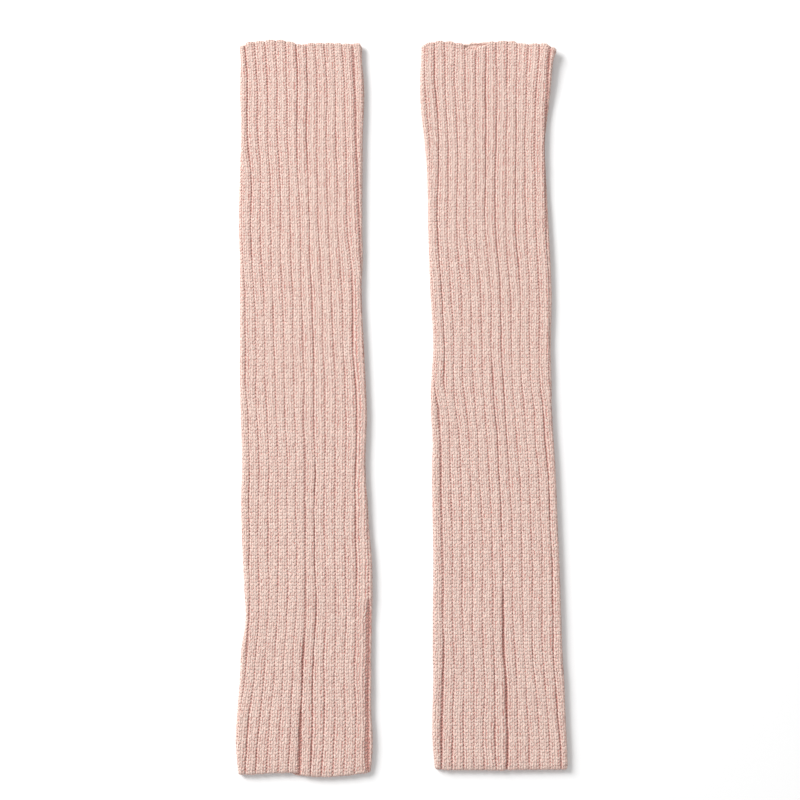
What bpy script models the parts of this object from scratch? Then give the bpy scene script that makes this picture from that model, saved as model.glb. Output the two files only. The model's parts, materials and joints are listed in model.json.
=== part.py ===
"""A pair of ribbed knit leg warmers, laid flat side by side.

Each leg warmer is one knitted tube of 2x2 rib, open at both ends. It lies flat, so its
front panel rests over its back panel, and the two meet in a round fold along each side.
X runs across the pair, Y up along the ribs to the bound-off top rims, and Z up from the
surface that the pair lies on. The origin is under the middle of the pair.

Tables and cloth sizes are in millimetres. A rib place counts ribs from the left: groove 3
is at place 3, the crest of the rib beside it at 3.5, and groove 4 at place 4.
"""

import math
from bisect import bisect
from collections import namedtuple

import bmesh
import bpy

MM = 0.001

# Cloth, in millimetres
LAID_HEIGHT = 6.8  # both panels together, measured over the crests of the ribs
FRONT_WALL = 3.4  # front panel, from its plain inside to a rib's crest
BACK_WALL = 2.6  # back panel, pressed flat against the surface
GROOVE_DEPTH = 1.5  # from a rib's crest down to the purl stitches between two ribs
DEEP_GROOVE_GAIN = 0.3  # how much deeper the one slack groove of a tube is, as a share
FOLD_RADIUS = LAID_HEIGHT / 2
GAP_RADIUS = (LAID_HEIGHT - FRONT_WALL - BACK_WALL) / 2
GAP_MIDDLE = BACK_WALL + GAP_RADIUS

# Ribs
RIB_STEPS = (0.0, 0.2, 0.5, 0.8)  # a rib's groove, shoulder, crest and other shoulder
RIB_ROUNDNESS = 0.5  # below 1 the crest is broad and the groove narrow
FIRST_RIB = -2
LAST_RIB = 13
RIB_PITCH = 8.5  # from groove to groove past the last groove of the tables
GROOVE_PLACES = (1.0, 6.0, 11.0, 12.0, 13.0)  # the grooves of the tables, and one more
BACK_COLUMNS = 6  # columns across the flat back panel, between the last rib and the first
FADE_STARTS = math.radians(100)  # ribs fade out under the fold between these two turns
FADE_ENDS = math.radians(150)

# Rim and hem
TOP_REACH = 25.0  # how far down from the top rim its uneven height still tells
HEM_REACH = 20.0  # the same, up from the hem
TOP_SCALLOP = 0.9  # how much further a rib's end stands out than the groove beside it
HEM_SCALLOP = 0.3
CORNER_WIDTH = 34.0  # the upper right corner curls up over this width from its edge
CORNER_DEPTH = 60.0  # and over this much of its length

YARN_COLOUR = (0.723, 0.503, 0.445, 1.0)  # pale dusty pink
YARN_ROUGHNESS = 0.9

# One cross section: height above the hem, the two outer edges and four of the grooves,
# all across from the tube's own axis. The grooves are measured on the unrolled cloth.
Section = namedtuple("Section", "up left groove_1 groove_6 groove_11 groove_12 right")

# The two ends of one rib: how far each stands above the level top or hem line.
RibEnd = namedtuple("RibEnd", "rib top_rise hem_rise")

# One tube: its one slack groove lies deeper up to a height, and its corner may be raised.
LegWarmer = namedtuple(
    "LegWarmer",
    "name axis_x hem_y length deep_groove deep_below corner_rise sections rib_ends",
)

LEFT_SECTIONS = (
    Section(2, -55.6, -49.7, -4.4, 41.8, 52.8, 56.1),
    Section(29, -57.3, -48.0, -3.5, 42.7, 52.0, 57.8),
    Section(54, -56.0, -45.5, -2.7, 42.7, 52.8, 56.5),
    Section(79, -53.9, -42.2, -1.8, 41.8, 52.8, 57.0),
    Section(105, -52.7, -40.5, -1.0, 42.7, 53.6, 56.1),
    Section(130, -49.0, -38.8, 0.7, 43.5, 54.4, 57.0),
    Section(155, -50.1, -38.0, 0.7, 43.5, 54.4, 57.8),
    Section(180, -51.4, -38.8, -0.2, 43.5, 54.4, 57.0),
    Section(205, -52.7, -38.8, -0.2, 42.7, 52.9, 54.4),
    Section(231, -53.1, -38.8, -0.2, 42.7, 54.2, 53.2),
    Section(256, -52.2, -38.0, 0.7, 42.7, 55.2, 54.4),
    Section(306, -53.5, -39.6, -0.6, 43.5, 56.0, 55.3),
    Section(331, -53.9, -41.3, -0.2, 42.7, 55.6, 54.4),
    Section(357, -53.9, -41.3, -1.0, 41.0, 53.4, 52.4),
    Section(407, -53.9, -42.2, -2.7, 40.2, 51.5, 51.5),
    Section(432, -53.9, -43.8, -3.5, 38.5, 46.9, 50.2),
    Section(457, -54.8, -44.7, -3.5, 36.0, 46.0, 50.2),
    Section(508, -53.9, -44.7, -5.2, 35.1, 44.4, 50.2),
    Section(533, -53.1, -47.2, -6.0, 34.3, 43.5, 51.9),
    Section(583, -53.9, -48.0, -6.0, 33.4, 41.8, 52.8),
    Section(600, -53.3, -49.3, -6.4, 32.8, 41.0, 51.3),
    Section(612, -54.1, -50.4, -6.8, 32.0, 40.0, 49.2),
)

LEFT_RIB_ENDS = (
    RibEnd(0, -2.5, 0.8),
    RibEnd(1, 1.3, 0.8),
    RibEnd(2, 2.4, 1.3),
    RibEnd(3, 3.4, 2.1),
    RibEnd(4, 2.9, 2.1),
    RibEnd(5, 1.3, 2.3),
    RibEnd(6, -1.1, -0.4),
    RibEnd(7, 0.4, -1.3),
    RibEnd(8, 0.4, -1.3),
    RibEnd(9, 0.4, -0.6),
    RibEnd(10, 0.2, 0.0),
    RibEnd(11, -0.4, 1.7),
    RibEnd(12, 0.0, 2.9),
    RibEnd(13, -2.6, 3.4),
)

RIGHT_SECTIONS = (
    Section(2, -48.4, -33.6, 12.6, 57.1, 66.0, 63.2),
    Section(25, -50.4, -33.6, 12.6, 56.3, 65.0, 62.6),
    Section(50, -50.4, -33.6, 11.8, 54.6, 63.3, 61.3),
    Section(75, -49.6, -32.8, 10.9, 52.9, 61.8, 60.5),
    Section(100, -50.0, -32.8, 9.2, 51.2, 60.0, 58.8),
    Section(126, -50.0, -33.6, 8.4, 50.4, 59.5, 58.0),
    Section(176, -49.6, -33.6, 8.4, 49.6, 58.2, 56.3),
    Section(226, -50.4, -34.4, 7.6, 47.0, 55.6, 54.2),
    Section(252, -50.8, -35.3, 5.9, 46.2, 55.4, 55.4),
    Section(277, -50.4, -36.1, 4.2, 43.7, 52.2, 54.6),
    Section(302, -51.7, -37.8, 1.7, 42.8, 50.8, 51.2),
    Section(327, -51.2, -41.2, 0.0, 39.5, 48.0, 49.6),
    Section(352, -49.6, -40.3, -1.7, 38.6, 48.0, 48.7),
    Section(403, -52.1, -42.8, -2.5, 38.6, 47.2, 49.6),
    Section(453, -53.8, -46.2, -5.9, 36.1, 45.4, 47.9),
    Section(504, -55.0, -45.4, -5.9, 35.3, 45.6, 44.9),
    Section(529, -57.1, -45.4, -5.9, 35.3, 45.6, 44.5),
    Section(554, -60.1, -47.0, -5.9, 36.1, 45.5, 47.0),
    Section(579, -60.5, -48.7, -5.9, 37.0, 46.2, 49.6),
    Section(597, -59.9, -48.7, -5.9, 38.2, 47.0, 51.9),
    Section(608, -59.4, -48.7, -5.9, 38.8, 47.9, 52.9),
)

RIGHT_RIB_ENDS = (
    RibEnd(-1, -1.7, 1.7),
    RibEnd(0, 0.4, 0.4),
    RibEnd(1, 2.1, 0.4),
    RibEnd(2, 1.3, 0.4),
    RibEnd(3, -2.0, 0.4),
    RibEnd(4, -6.3, 0.2),
    RibEnd(5, -5.0, 0.0),
    RibEnd(6, 1.5, 0.4),
    RibEnd(7, 2.1, 0.6),
    RibEnd(8, 1.3, 0.6),
    RibEnd(9, -0.4, 0.8),
    RibEnd(10, -0.8, 0.8),
    RibEnd(11, -1.3, 0.8),
    RibEnd(12, -2.5, 1.7),
    RibEnd(13, -4.0, 2.1),
)

LEG_WARMERS = (
    LegWarmer("leg_warmer_left", -81.8, -308.0, 614.0, 6, 330.0, 0.0, LEFT_SECTIONS, LEFT_RIB_ENDS),
    LegWarmer("leg_warmer_right", 76.0, -303.8, 610.0, 6, 160.0, 3.0, RIGHT_SECTIONS, RIGHT_RIB_ENDS),
)


def ease(share):
    """Smooth step from 0 to 1."""
    share = min(max(share, 0.0), 1.0)
    return share * share * (3.0 - 2.0 * share)


def remove_scene_objects():
    """Start from an empty scene."""
    for item in list(bpy.data.objects):
        bpy.data.objects.remove(item, do_unlink=True)


def yarn_material():
    """Matt pink knitting yarn."""
    material = bpy.data.materials.new("pink_rib_knit")
    material.use_nodes = True
    shader = material.node_tree.nodes["Principled BSDF"]
    shader.inputs["Base Color"].default_value = YARN_COLOUR
    shader.inputs["Roughness"].default_value = YARN_ROUGHNESS
    shader.inputs["Metallic"].default_value = 0.0
    return material


def across_at(section, place):
    """Distance from the axis, across the unrolled front panel, of a rib place."""
    grooves = list(section[2:6]) + [section.groove_12 + RIB_PITCH]
    index = min(max(bisect(GROOVE_PLACES, place) - 1, 0), len(grooves) - 2)
    share = (place - GROOVE_PLACES[index]) / (GROOVE_PLACES[index + 1] - GROOVE_PLACES[index])
    return grooves[index] + share * (grooves[index + 1] - grooves[index])


def turn_at(section, across):
    """Side, turn round the fold and run along the underside of a distance across."""
    left_turn = section.left + FOLD_RADIUS
    right_turn = section.right - FOLD_RADIUS
    if across < left_turn:
        side = -1.0
        start = left_turn
        past = left_turn - across
    else:
        side = 1.0
        start = min(across, right_turn)
        past = max(across - right_turn, 0.0)
    turn = min(past / FOLD_RADIUS, math.pi)
    return side, start, turn, past - turn * FOLD_RADIUS


def ring_point(section, across, radius, middle):
    """Place and outward direction on a flattened ring of one cross section."""
    side, start, turn, under = turn_at(section, across)
    out_x = side * math.sin(turn)
    out_z = math.cos(turn)
    x = start + radius * out_x - side * under
    z = middle + radius * out_z
    return x, z, out_x, out_z


def fade_at(section, across):
    """1 on the front panel and the folds' sides, 0 on the flat underside."""
    turn = turn_at(section, across)[2]
    return ease((FADE_ENDS - turn) / (FADE_ENDS - FADE_STARTS))


def rib_height(place):
    """0 in a groove and 1 on a crest, broad at the top."""
    return math.sin(math.pi * (place % 1.0)) ** RIB_ROUNDNESS


def column_places():
    """Rib places of the ring's columns over the ribs, left to right."""
    ribs = range(FIRST_RIB, LAST_RIB + 1)
    return [rib + step for rib in ribs for step in RIB_STEPS]


def column_spans(section, places):
    """Distance across of each column, from the ribs on round the flat back panel."""
    spans = [across_at(section, place) for place in places]
    flat = section.right - section.left - 2.0 * FOLD_RADIUS
    around = 2.0 * flat + 2.0 * math.pi * FOLD_RADIUS
    back = around - (spans[-1] - spans[0])
    step = back / (BACK_COLUMNS + 1)
    return spans + [spans[-1] + step * (column + 1) for column in range(BACK_COLUMNS)]


def groove_depth(tube, section, place):
    """Depth of the groove nearest to a place, with the tube's one slack groove deeper."""
    nearness = max(0.0, 1.0 - abs(place - tube.deep_groove))
    low_down = ease((tube.deep_below - section.up) / TOP_REACH)
    return GROOVE_DEPTH * (1.0 + DEEP_GROOVE_GAIN * nearness * low_down)


def end_rise(tube, place, end):
    """Rise of the top rim or hem at a rib place, from the table of rib ends."""
    rows = tube.rib_ends
    middle = min(max(place - 0.5, rows[0].rib), rows[-1].rib)
    index = min(int(middle - rows[0].rib), len(rows) - 2)
    low = getattr(rows[index], end)
    high = getattr(rows[index + 1], end)
    return low + (high - low) * ease(middle - rows[index].rib)


def lift(tube, section, place, across, up):
    """Height above the hem line of a column's point, with the uneven top and hem."""
    front = fade_at(section, across)
    top_share = front * ease(1.0 - (tube.length - up) / TOP_REACH)
    hem_share = front * ease(1.0 - up / HEM_REACH)
    top = end_rise(tube, place, "top_rise") + TOP_SCALLOP * (rib_height(place) - 1.0)
    hem = end_rise(tube, place, "hem_rise") - HEM_SCALLOP * (rib_height(place) - 1.0)
    return up + top_share * top + hem_share * hem


def corner_lift(tube, section, x, up):
    """How far the curled upper right corner stands off the surface at a point."""
    near_edge = ease(1.0 - (section.right - x) / CORNER_WIDTH)
    near_top = ease(1.0 - (tube.length - up) / CORNER_DEPTH)
    return tube.corner_rise * near_edge * near_top


def ring(tube, section, places, up, wall):
    """One ring of points, on the ribbed outside, the plain inside or midway between."""
    points = []
    spans = column_spans(section, places)
    back_places = [places[-1]] * BACK_COLUMNS
    for place, across in zip(places + back_places, spans):
        x, z, out_x, out_z = ring_point(section, across, FOLD_RADIUS, FOLD_RADIUS)
        cut = groove_depth(tube, section, place) * (1.0 - rib_height(place))
        cut *= fade_at(section, across)
        inner_x, inner_z = ring_point(section, across, GAP_RADIUS, GAP_MIDDLE)[:2]
        x = wall * (x - cut * out_x) + (1.0 - wall) * inner_x
        z = wall * (z - cut * out_z) + (1.0 - wall) * inner_z
        z += corner_lift(tube, section, x, up)
        y = tube.hem_y + lift(tube, section, place, across, up)
        points.append(((tube.axis_x + x) * MM, y * MM, z * MM))
    return points


def loft(mesh, rings):
    """Faces between rings that have the same number of points each."""
    for low, high in zip(rings, rings[1:]):
        for index in range(len(low)):
            after = (index + 1) % len(low)
            mesh.faces.new((low[index], low[after], high[after], high[index]))


def close_end(mesh, fine, coarse):
    """Faces between a ring and one with only every second of its points."""
    for index in range(len(coarse)):
        after = (index + 1) % len(coarse)
        start = fine[2 * index]
        middle = fine[2 * index + 1]
        end = fine[(2 * index + 2) % len(fine)]
        mesh.faces.new((start, middle, end, coarse[after], coarse[index]))


def build_leg_warmer(tube, material):
    """One leg warmer: ribbed outside, plain inside, and a rounded lip at each end."""
    places = column_places()
    mesh = bmesh.new()

    def add_ring(section, up, wall):
        points = ring(tube, section, places, up, wall)
        return [mesh.verts.new(point) for point in points]

    first = tube.sections[0]
    last = tube.sections[-1]
    outside = [add_ring(section, section.up, 1.0) for section in tube.sections]
    hem_tip = add_ring(first, 0.0, 0.5)
    top_tip = add_ring(last, tube.length, 0.5)
    loft(mesh, [hem_tip] + outside + [top_tip])

    inside = []
    for section in tube.sections:
        points = ring(tube, section, places, section.up, 0.0)[::2]
        inside.append([mesh.verts.new(point) for point in points])
    loft(mesh, inside)
    close_end(mesh, hem_tip, inside[0])
    close_end(mesh, top_tip, inside[-1])
    bmesh.ops.recalc_face_normals(mesh, faces=mesh.faces)

    data = bpy.data.meshes.new(tube.name)
    mesh.to_mesh(data)
    mesh.free()
    data.shade_smooth()
    data.set_sharp_from_angle(angle=math.radians(50))
    data.materials.append(material)
    return bpy.data.objects.new(tube.name, data)


def main():
    remove_scene_objects()
    pair = bpy.data.collections.new("pair_of_ribbed_knit_leg_warmers")
    bpy.context.scene.collection.children.link(pair)
    material = yarn_material()
    for tube in LEG_WARMERS:
        pair.objects.link(build_leg_warmer(tube, material))


main()
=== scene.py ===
"""A pair of ribbed knit leg warmers, laid flat on a white surface, knitted stitch by stitch.

The file is laid out as an add-on and run as a script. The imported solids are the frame. Each
of them is replaced by a finer wall of the same laid shape, which carries real knit stitches
along its ribs, purl stitches down its grooves, a bound-off chain round its top rim and a
cast-on edge round its hem.

Cloth sizes are in millimetres, as a knitter would measure them, and every mesh is in metres.
A rib place counts ribs from the left: groove 3 is at place 3, the crest of the rib beside
it at 3.5, and groove 4 at place 4. There are 26 ribs all round a tube.
"""

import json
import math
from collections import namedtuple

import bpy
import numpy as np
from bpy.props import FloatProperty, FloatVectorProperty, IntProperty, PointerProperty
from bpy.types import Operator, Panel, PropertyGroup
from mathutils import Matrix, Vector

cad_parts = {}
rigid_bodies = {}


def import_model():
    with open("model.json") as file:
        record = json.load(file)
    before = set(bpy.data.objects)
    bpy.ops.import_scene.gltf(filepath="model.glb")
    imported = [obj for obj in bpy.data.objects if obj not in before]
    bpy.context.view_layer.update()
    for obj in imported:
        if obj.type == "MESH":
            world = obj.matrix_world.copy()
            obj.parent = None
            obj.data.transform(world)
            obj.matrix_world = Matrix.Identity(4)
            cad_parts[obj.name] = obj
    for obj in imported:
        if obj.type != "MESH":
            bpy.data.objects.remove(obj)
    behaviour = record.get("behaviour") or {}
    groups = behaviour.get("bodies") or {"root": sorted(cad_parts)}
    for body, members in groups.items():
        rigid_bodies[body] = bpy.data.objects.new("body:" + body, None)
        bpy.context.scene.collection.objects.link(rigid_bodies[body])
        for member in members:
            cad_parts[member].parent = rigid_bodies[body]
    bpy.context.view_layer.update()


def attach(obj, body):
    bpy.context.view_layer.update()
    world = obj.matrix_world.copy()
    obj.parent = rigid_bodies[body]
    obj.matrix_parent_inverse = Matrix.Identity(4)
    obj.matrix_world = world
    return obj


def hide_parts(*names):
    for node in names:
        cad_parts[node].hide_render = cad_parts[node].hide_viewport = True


bl_info = {
    "name": "Ribbed Knit Leg Warmers",
    "version": (1, 0, 0),
    "blender": (4, 5, 0),
    "location": "View3D > Sidebar > Leg Warmers",
    "description": "Builds a pair of 2x2 rib leg warmers laid flat, stitch by stitch",
    "category": "Add Mesh",
}

for leftover in list(bpy.data.objects):
    bpy.data.objects.remove(leftover, do_unlink=True)
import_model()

MM = 0.001
BODY = "root"

# Cloth, in millimetres, the same as the solids'
LAID_HEIGHT = 6.8
FOLD_RADIUS = LAID_HEIGHT / 2
FRONT_WALL = 3.4
BACK_WALL = 2.6
GAP_RADIUS = (LAID_HEIGHT - FRONT_WALL - BACK_WALL) / 2
GAP_MIDDLE = BACK_WALL + GAP_RADIUS
RIBS = 26
RIB_PITCH = 8.5
FRONT_START = -0.5
FRONT_END = 13.5
SEAM_START = -6.0  # the places of one whole round run from here, mid back, to here again
LEFT_FRONT_RIBS = range(-1, 6)
RIGHT_FRONT_RIBS = range(6, 14)
UNDER_RIBS = (*range(-6, -1), *range(14, 20))
PURL_GROOVES = range(-1, 15)  # the grooves that show their purl stitches
FADE_STARTS = math.radians(100)  # turn round a fold at which the front's relief starts to fade
FADE_ENDS = math.radians(150)
TOP_REACH = 25.0  # the rises of the top rim fade out over this length
HEM_REACH = 20.0
CORNER_WIDTH = 34.0  # size of the corner that curls off the surface
CORNER_DEPTH = 60.0

# Finer form of the cloth, in millimetres
FRONT_GROOVE = 1.2  # depth of a full crease between two ribs on the front
FAINT_SHARE = 0.42  # share of it that most grooves have
RIM_SHARE = 0.55  # and that they have towards the top rim, which draws the ribs together
RIM_SHARE_STARTS = 430.0
RIM_SHARE_EASE = 100.0
CREASE_EASE = 25.0  # length over which a crease deepens and fades at its two ends
TROUGH_EASE = 20.0  # and over which a trough opens and closes
UNDER_GROOVE = 0.9  # depth of a groove on the underside, where the ribs are pressed flat
RIB_FLATNESS = 7.0  # the larger it is, the broader a rib's face and the steeper its sides
RIB_SHOULDER = 0.6  # the smaller it is, the fuller a rib is towards its sides
RIB_CROWN = 0.28  # how far a rib's face falls from its middle to its sides
GROOVE_WIDTH = 0.25  # width of the open bottom of a plain groove
LEAST_WIDTH = 0.2
TOP_LIP = 1.7  # radius of the rounded end of the wall at the top rim
HEM_LIP = 1.7
UNDER_LIP = 0.76  # radius of both ends on the thinner back panel, as a share of the front's
LIP_LEFT = 0.5  # share of a lip's radius that the grooves leave of it
RIM_BAND = 3.0  # height of the bound-off band below the top rim
RIM_SHALLOWER = 0.15  # share by which the grooves are shallower in it
HEM_BAND = 2.0
HEM_SHALLOWER = 0.2
BAND_EASE = 2.0
RIM_NOTCH = 2.0  # how far the top rim dips between two ribs
NOTCH_POWER = 4  # the larger it is, the narrower the dips
NOTCH_REACH = 6.0
HEM_SAG = 1.3  # how far the front panel slopes down towards the edge of the hem
HEM_SAG_REACH = 6.0
STITCH_SINK = 0.45  # the wall lies this far under the crests of the stitches on it

# Small waves of the cloth. Turns is how many radians they run in one radian round the tube, or
# from one groove to the next, length how far up the tube a radian of them runs, size how high
# they are, and seeds how much the tube's own seed shifts them.
Wave = namedtuple("Wave", "turns length size seeds")
STRAY_WAVES = (
    Wave(4.0, 37.0, 0.22, 1.0),
    Wave(9.0, -19.0, 0.24, 2.0),
    Wave(11.0, 8.3, 0.16, 3.0),
    Wave(12.0, -3.1, 0.10, 4.0),
)
WIDTH_WAVE = Wave(2.4, 17.0, 0.4, 1.0)
WIDTH_RIPPLE = Wave(5.1, -6.1, 0.22, 0.0)
CREASE_WAVE = Wave(1.9, 31.0, 0.22, 1.0)
CREASE_RIPPLE = Wave(3.7, -9.0, 0.16, 1.0)

# A section holds where both edges and four of the grooves lie at one height, in millimetres
# from the tube's axis, the grooves along the unrolled cloth. A rib end holds how far up a rib's
# ends are shifted: in front at the top rim, at the back of it and at the hem. A trough is a
# stretch where the bottom of a groove is open, a crease is one where a groove has a share of the
# full depth of its own, and a sway is a soft bend of the ribs.
Section = namedtuple("Section", "up left groove_1 groove_6 groove_11 groove_12 right")
RibEnd = namedtuple("RibEnd", "rib top_rise back_rise hem_rise")
Trough = namedtuple("Trough", "groove low high width")
Crease = namedtuple("Crease", "groove low high share")
Sway = namedtuple("Sway", "groove spread up reach shift")
Tube = namedtuple(
    "Tube",
    "name axis_x hem_y length corner_rise sections rib_ends troughs creases sways seed",
)

LEFT_SECTIONS = (
    Section(2, -56.2, -49.7, -4.4, 41.8, 53.8, 55.9),
    Section(29, -57.9, -48.0, -3.5, 42.7, 53.4, 57.5),
    Section(54, -56.6, -45.5, -2.7, 42.7, 53.8, 56.1),
    Section(79, -54.5, -42.2, -1.8, 41.8, 53.8, 56.2),
    Section(105, -53.3, -40.5, -1.0, 42.7, 54.2, 56.3),
    Section(130, -49.6, -38.8, 0.7, 43.5, 54.8, 56.8),
    Section(155, -50.7, -38.0, 0.7, 43.5, 54.4, 57.2),
    Section(180, -52.0, -38.8, -0.2, 43.5, 54.4, 56.8),
    Section(205, -53.3, -38.8, -0.2, 42.7, 52.9, 54.7),
    Section(231, -53.7, -38.8, -0.2, 42.7, 54.2, 53.3),
    Section(256, -52.8, -38.0, 0.7, 42.7, 54.6, 51.7),
    Section(306, -54.1, -39.6, -0.6, 43.5, 55.4, 52.8),
    Section(331, -54.5, -41.3, -0.2, 42.7, 54.6, 51.8),
    Section(357, -54.5, -41.3, -1.0, 41.0, 53.2, 50.6),
    Section(407, -54.5, -42.2, -2.7, 40.2, 51.2, 48.3),
    Section(432, -54.5, -43.8, -3.5, 38.5, 47.5, 49.1),
    Section(457, -55.4, -44.7, -3.5, 36.0, 46.0, 48.8),
    Section(508, -54.5, -44.7, -5.2, 35.1, 44.4, 49.0),
    Section(533, -53.7, -47.2, -6.0, 34.3, 43.5, 49.4),
    Section(583, -54.5, -48.0, -6.0, 33.4, 41.8, 50.1),
    Section(600, -53.9, -49.3, -6.4, 32.8, 41.0, 48.6),
    Section(612, -54.7, -50.4, -6.8, 32.0, 40.0, 48.6),
)

LEFT_RIB_ENDS = (
    RibEnd(0, -2.5, -2.5, 0.8),
    RibEnd(1, 1.3, 1.3, 0.8),
    RibEnd(2, 2.0, 2.0, 1.3),
    RibEnd(3, 2.9, 2.9, 2.1),
    RibEnd(4, 2.9, 2.9, 2.1),
    RibEnd(5, 1.3, 1.3, 2.3),
    RibEnd(6, -1.1, -1.1, -0.4),
    RibEnd(7, 0.4, 0.4, -1.3),
    RibEnd(8, 0.4, 0.4, -1.3),
    RibEnd(9, 0.4, 0.4, -0.6),
    RibEnd(10, 0.2, 0.2, 0.0),
    RibEnd(11, -0.4, -0.4, 1.7),
    RibEnd(12, 0.0, 0.0, 2.9),
    RibEnd(13, -2.6, -2.6, 3.4),
)

LEFT_TROUGHS = (
    Trough(6, -30, 62, 2.3),
    Trough(6, 62, 330, 1.3),
    Trough(12, -30, 155, 3.3),
    Trough(12, 420, 640, 1.5),
    Trough(0, 90, 150, 2.0),
)

LEFT_CREASES = (
    Crease(0, 165, 275, 0.9),
    Crease(0, 470, 640, 0.3),
    Crease(1, -30, 65, 1.2),
    Crease(1, 420, 640, 0.95),
    Crease(2, -30, 60, 0.8),
    Crease(5, -30, 60, 0.75),
    Crease(6, -30, 125, 1.3),
    Crease(6, 500, 640, 1.1),
    Crease(7, -30, 280, 1.2),
    Crease(7, 280, 500, 0.85),
    Crease(7, 500, 640, 1.2),
    Crease(8, -30, 120, 0.75),
    Crease(11, 150, 430, 1.05),
    Crease(12, -30, 170, 1.0),
    Crease(12, 420, 640, 0.6),
)

LEFT_SWAYS = (
    Sway(4.0, 2.0, 188, 42, 1.9),
    Sway(8.3, 1.6, 45, 42, 1.4),
    Sway(2.4, 1.3, 240, 38, 0.9),
    Sway(8.5, 2.2, 575, 30, 0.9),
    Sway(1.0, 0.8, 345, 18, 1.1),
    Sway(5.0, 1.0, 400, 25, 0.7),
)

RIGHT_SECTIONS = (
    Section(2, -49.0, -33.6, 12.6, 57.1, 66.0, 63.2),
    Section(25, -51.0, -33.6, 12.6, 56.3, 65.0, 62.6),
    Section(50, -51.0, -33.6, 11.8, 54.6, 63.3, 61.3),
    Section(75, -50.2, -32.8, 10.9, 52.9, 61.8, 60.5),
    Section(100, -50.6, -32.8, 9.2, 51.2, 60.0, 58.8),
    Section(126, -50.6, -33.6, 8.4, 50.4, 59.5, 58.0),
    Section(176, -50.2, -33.6, 8.4, 49.6, 58.2, 56.3),
    Section(226, -51.0, -34.4, 7.6, 47.0, 55.6, 54.2),
    Section(252, -51.4, -35.3, 5.9, 46.2, 55.4, 53.2),
    Section(277, -51.0, -36.1, 4.2, 43.7, 54.0, 51.6),
    Section(302, -52.3, -37.8, 1.7, 42.8, 52.8, 50.1),
    Section(327, -51.8, -41.2, 0.0, 39.5, 48.0, 49.6),
    Section(352, -50.2, -40.3, -1.7, 38.6, 48.0, 49.0),
    Section(403, -52.7, -42.8, -2.5, 38.6, 47.2, 49.6),
    Section(453, -54.4, -46.2, -5.9, 36.1, 45.4, 47.4),
    Section(504, -55.6, -45.4, -5.9, 35.3, 45.6, 44.9),
    Section(529, -57.7, -45.4, -5.9, 35.3, 45.6, 44.5),
    Section(554, -60.7, -47.0, -5.9, 36.1, 45.5, 47.0),
    Section(579, -61.1, -48.7, -5.9, 37.0, 46.2, 49.6),
    Section(597, -60.5, -48.7, -5.9, 38.2, 47.0, 51.1),
    Section(608, -60.0, -48.7, -5.9, 38.8, 47.9, 53.4),
)

RIGHT_RIB_ENDS = (
    RibEnd(-1, -2.2, -2.2, 1.7),
    RibEnd(0, 0.4, 0.4, 0.4),
    RibEnd(1, 1.9, 1.9, 0.4),
    RibEnd(2, 1.4, 1.4, 0.4),
    RibEnd(3, 0.0, 0.2, 0.4),
    RibEnd(4, -5.8, -0.5, 0.2),
    RibEnd(5, -2.6, 1.2, 0.0),
    RibEnd(6, 1.2, 1.2, 0.4),
    RibEnd(7, 1.8, 1.8, 0.6),
    RibEnd(8, 1.6, 1.6, 0.6),
    RibEnd(9, -0.4, -0.4, 0.8),
    RibEnd(10, -0.6, -0.6, 0.8),
    RibEnd(11, -0.7, -0.7, 0.8),
    RibEnd(12, -4.4, -4.4, 1.7),
    RibEnd(13, -8.0, -8.0, 2.1),
)

RIGHT_TROUGHS = (
    Trough(12, 440, 640, 2.0),
    Trough(6, -30, 160, 1.3),
    Trough(0, -30, 330, 1.2),
)

RIGHT_CREASES = (
    Crease(0, -30, 120, 1.0),
    Crease(0, 205, 265, 0.9),
    Crease(0, 300, 640, 0.3),
    Crease(1, -30, 60, 0.85),
    Crease(1, 310, 640, 1.1),
    Crease(2, -30, 60, 0.8),
    Crease(5, -30, 120, 0.9),
    Crease(6, -30, 180, 1.4),
    Crease(6, 180, 350, 1.0),
    Crease(6, 450, 640, 1.05),
    Crease(7, 260, 560, 1.0),
    Crease(9, 60, 125, 0.95),
    Crease(9, 390, 570, 0.95),
    Crease(11, -30, 330, 1.15),
    Crease(12, 340, 470, 1.2),
    Crease(12, 470, 640, 0.75),
    Crease(13, -30, 220, 1.1),
)

RIGHT_SWAYS = (
    Sway(4.0, 1.4, 25, 28, -1.9),
    Sway(4.8, 1.7, 235, 44, -1.2),
    Sway(8.0, 2.2, 375, 52, 1.3),
    Sway(8.0, 1.1, 550, 38, 1.1),
    Sway(9.7, 1.2, 95, 36, -1.1),
    Sway(7.0, 0.9, 90, 32, 0.8),
    Sway(2.0, 0.7, 307, 11, -1.2),
)

TUBES = (
    Tube(
        "leg_warmer_left", -81.8, -308.0, 614.0, 0.0,
        LEFT_SECTIONS, LEFT_RIB_ENDS, LEFT_TROUGHS, LEFT_CREASES, LEFT_SWAYS, 3,
    ),
    Tube(
        "leg_warmer_right", 76.0, -303.8, 610.0, 2.6,
        RIGHT_SECTIONS, RIGHT_RIB_ENDS, RIGHT_TROUGHS, RIGHT_CREASES, RIGHT_SWAYS, 11,
    ),
)

PLAIN_BODY = 7.7  # width of a rib between two plain grooves, which the yarn's width is meant for

# Knitting gauge: height of one row of stitches at heights up the tube, in millimetres
GAUGE_UPS = (0, 190, 290, 390, 500, 620)
GAUGE_ROWS = (2.85, 2.80, 2.72, 2.60, 2.48, 2.38)

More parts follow.
